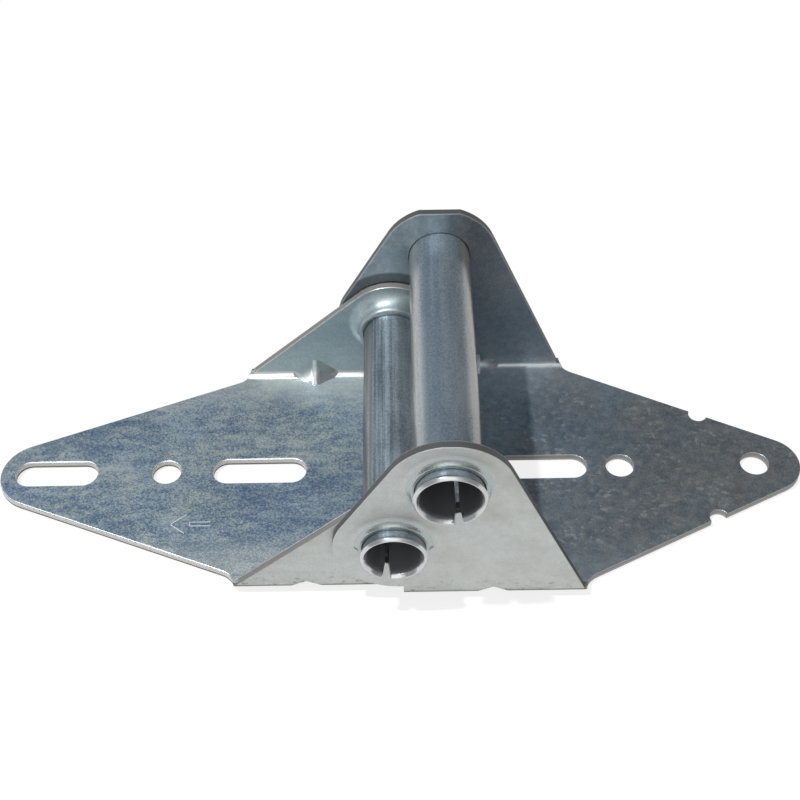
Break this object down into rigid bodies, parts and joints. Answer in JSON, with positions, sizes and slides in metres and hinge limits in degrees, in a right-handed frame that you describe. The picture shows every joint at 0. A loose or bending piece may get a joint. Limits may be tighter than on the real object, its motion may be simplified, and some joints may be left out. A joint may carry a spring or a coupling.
{
  "type": "garage door hinge",
  "caption": "Folded galvanised-steel hinge for a sectional garage door: nested ears turn on a rolled tube, and a higher tube takes the stem of the track roller.",
  "frame": {"origin": "on the door's surface, under the plates, midway between the tips of the leaves", "axes": "+X along the hinge towards the roller leaf's tip, +Y along the tubes, +Z away from the door"},
  "size_m": [0.19, 0.0796, 0.0514],
  "materials": {
    "leaf_steel": "galvanised sheet, faintly spangled, dull with light scuffs",
    "tube_steel": "galvanised, drawn along its length"
  },
  "bodies": {
    "roller_side": {"roller_leaf": "leaf_steel", "roller_tube": "tube_steel", "hinge_tube": "tube_steel"},
    "pivot_side": {"pivot_leaf": "leaf_steel"}
  },
  "joints": [
    {"name": "leaf_fold", "type": "hinge", "parent": "roller_side", "child": "pivot_side", "pos_m": [-0.0016, 0, 0.0198], "axis": [0, 1, 0], "range_deg": [0, 105]}
  ]
}
